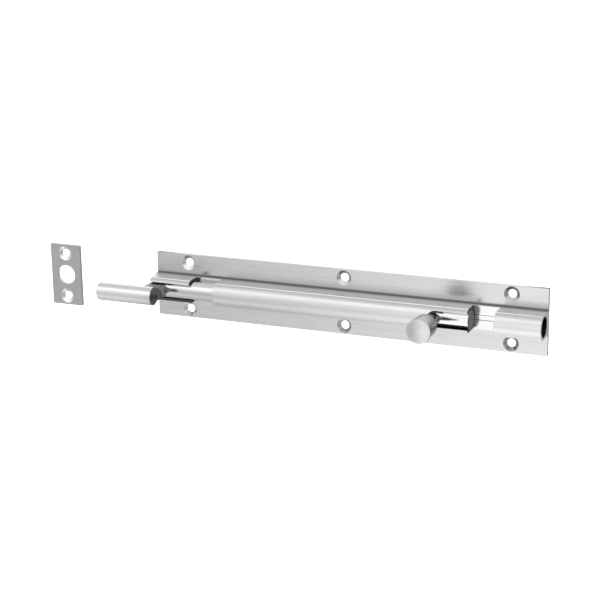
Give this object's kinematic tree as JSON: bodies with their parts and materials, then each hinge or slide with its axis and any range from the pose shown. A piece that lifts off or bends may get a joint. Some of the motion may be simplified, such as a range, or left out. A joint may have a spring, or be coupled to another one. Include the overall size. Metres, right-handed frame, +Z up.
{
  "type": "necked barrel bolt",
  "caption": "Surface-mounted necked barrel bolt: plate with round barrel and guides, sliding cranked bolt with cylindrical knob, and a separate flat keep plate.",
  "frame": {"origin": "middle of the plate's back face, where it meets the door", "axes": "+X along the bolt's withdrawal, away from the keep plate; +Y out of the plate's back, into the door; +Z up"},
  "size_m": [0.2655, 0.0362, 0.0335],
  "materials": {
    "satin_aluminium": "extruded, satin brushed along its length and clear anodised",
    "satin_aluminium_keep": "satin brushed sheet",
    "bright_steel": "bright polished bar",
    "bright_steel_neck": "satin machined",
    "bright_steel_shoot": "satin turned bar",
    "dark_steel": "turned, unpolished",
    "turned_aluminium": "turned and faced, satin",
    "spring_steel": "blued strip"
  },
  "bodies": {
    "root": {"body": "satin_aluminium", "keep_plate": "satin_aluminium_keep"},
    "bolt": {"bolt_rod": "bright_steel", "crank_neck": "bright_steel_neck", "shoot": "bright_steel_shoot", "knob_stud": "dark_steel", "knob": "turned_aluminium", "friction_spring": "spring_steel"}
  },
  "joints": [
    {"name": "bolt_slide", "type": "slide", "parent": "root", "child": "bolt", "axis": [1, 0, 0], "range_m": [0, 0.0264]}
  ]
}
